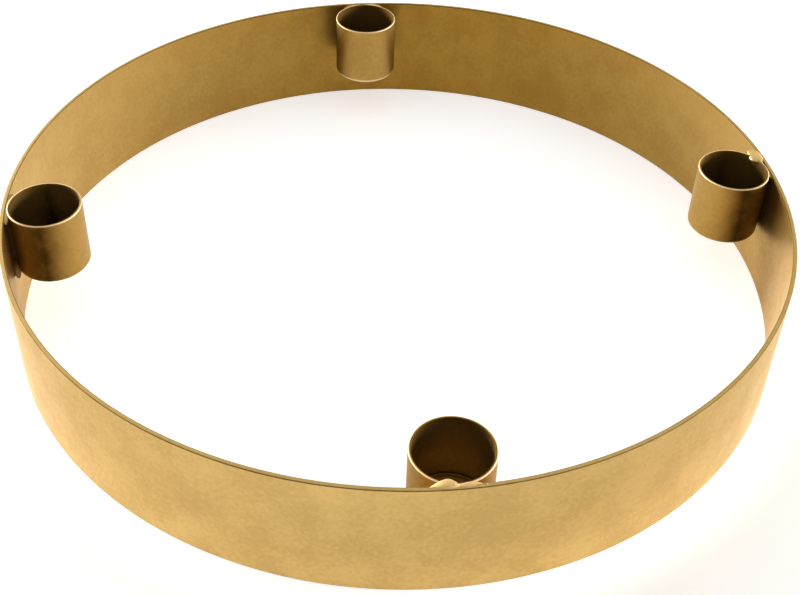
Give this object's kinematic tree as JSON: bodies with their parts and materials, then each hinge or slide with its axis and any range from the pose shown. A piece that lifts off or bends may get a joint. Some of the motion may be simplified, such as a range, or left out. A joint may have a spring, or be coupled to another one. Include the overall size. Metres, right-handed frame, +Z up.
{
  "type": "advent candle holder",
  "caption": "Low round hoop of satin brass strip, standing on edge, with straight candle cups welded inside it at its top edge; holds dinner candles round an open centre.",
  "frame": {"origin": "middle of the hoop, on the surface that it stands on", "axes": "+Z up, along the hoop's axis; -Y towards the front cup, +X towards the right cup"},
  "size_m": [0.26, 0.26, 0.0422],
  "materials": {
    "hoop_brass": "satin, lightly mottled",
    "cup_brass": "satin, with bright rims",
    "weld_brass": "smooth weld bead"
  },
  "bodies": {
    "root": {"hoop_band": "hoop_brass", "hoop_seam_weld": "weld_brass", "candle_cup_right": "cup_brass", "tack_right_upper_left": "weld_brass", "tack_right_upper_right": "weld_brass", "tack_right_lower": "weld_brass", "candle_cup_back": "cup_brass", "tack_back_upper_left": "weld_brass", "tack_back_upper_right": "weld_brass", "tack_back_lower": "weld_brass", "candle_cup_left": "cup_brass", "tack_left_upper_left": "weld_brass", "tack_left_upper_right": "weld_brass", "tack_left_lower": "weld_brass", "candle_cup_front": "cup_brass", "tack_front_upper_left": "weld_brass", "tack_front_upper_right": "weld_brass", "tack_front_lower": "weld_brass"}
  },
  "joints": []
}
